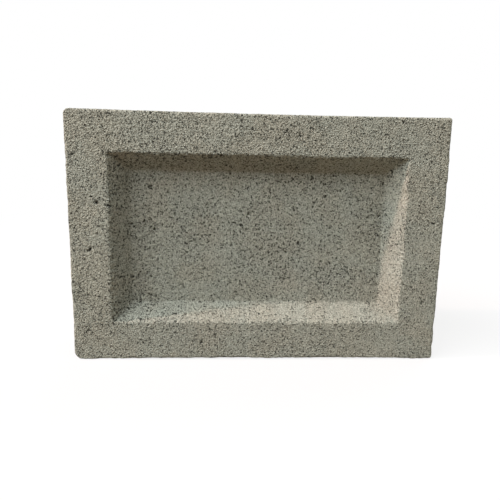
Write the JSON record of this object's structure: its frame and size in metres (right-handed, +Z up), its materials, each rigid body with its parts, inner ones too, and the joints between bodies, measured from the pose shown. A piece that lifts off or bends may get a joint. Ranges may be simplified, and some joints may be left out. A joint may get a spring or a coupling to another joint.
{
  "type": "concrete block",
  "caption": "Solid pressed-concrete building block with square arrises and a shallow tapered frog in its large face, laid in mortar to build walls.",
  "frame": {"origin": "middle of the underside, the long narrow side that the block stands on", "axes": "+X along the length, +Z up, and the frog faces -Y"},
  "size_m": [0.3, 0.1, 0.2],
  "materials": {
    "concrete": "matte"
  },
  "bodies": {
    "root": {"block": "concrete"}
  },
  "joints": []
}
